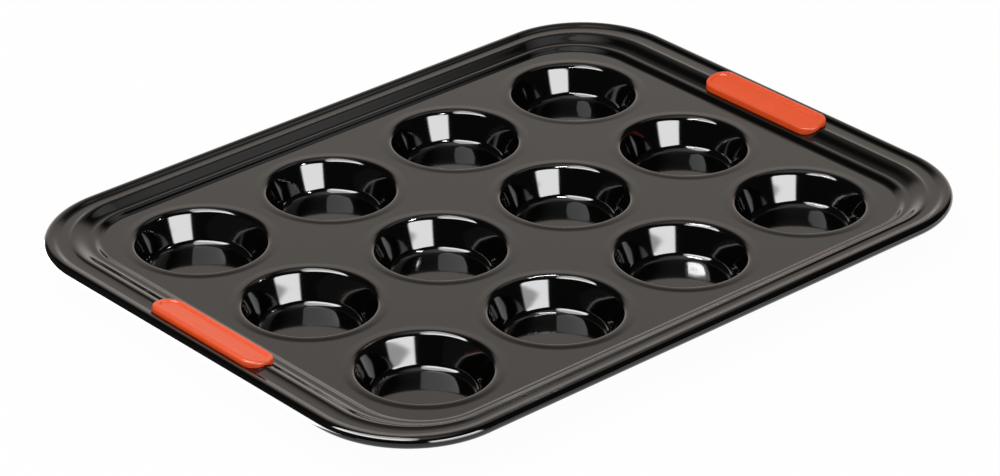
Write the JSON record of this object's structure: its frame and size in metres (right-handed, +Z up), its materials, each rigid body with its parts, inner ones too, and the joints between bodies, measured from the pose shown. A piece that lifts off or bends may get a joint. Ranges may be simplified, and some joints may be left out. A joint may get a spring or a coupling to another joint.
{
  "type": "muffin pan",
  "caption": "Rectangular non-stick muffin pan with shallow round drawn cups, a stepped frame, a rolled wire rim and a silicone grip on each short side.",
  "frame": {"origin": "under the centre of the cup grid, on the plane that the cup floors stand on", "axes": "+X along the pan's length towards grip_right, +Y across it, +Z up out of the cups"},
  "size_m": [0.406, 0.3054, 0.025],
  "materials": {
    "nonstick_coat": "gloss",
    "wire_steel": "plain drawn wire",
    "grip_silicone": "satin"
  },
  "bodies": {
    "root": {"pressed_pan": "nonstick_coat", "rim_wire": "wire_steel", "grip_left": "grip_silicone", "grip_right": "grip_silicone"}
  },
  "joints": []
}
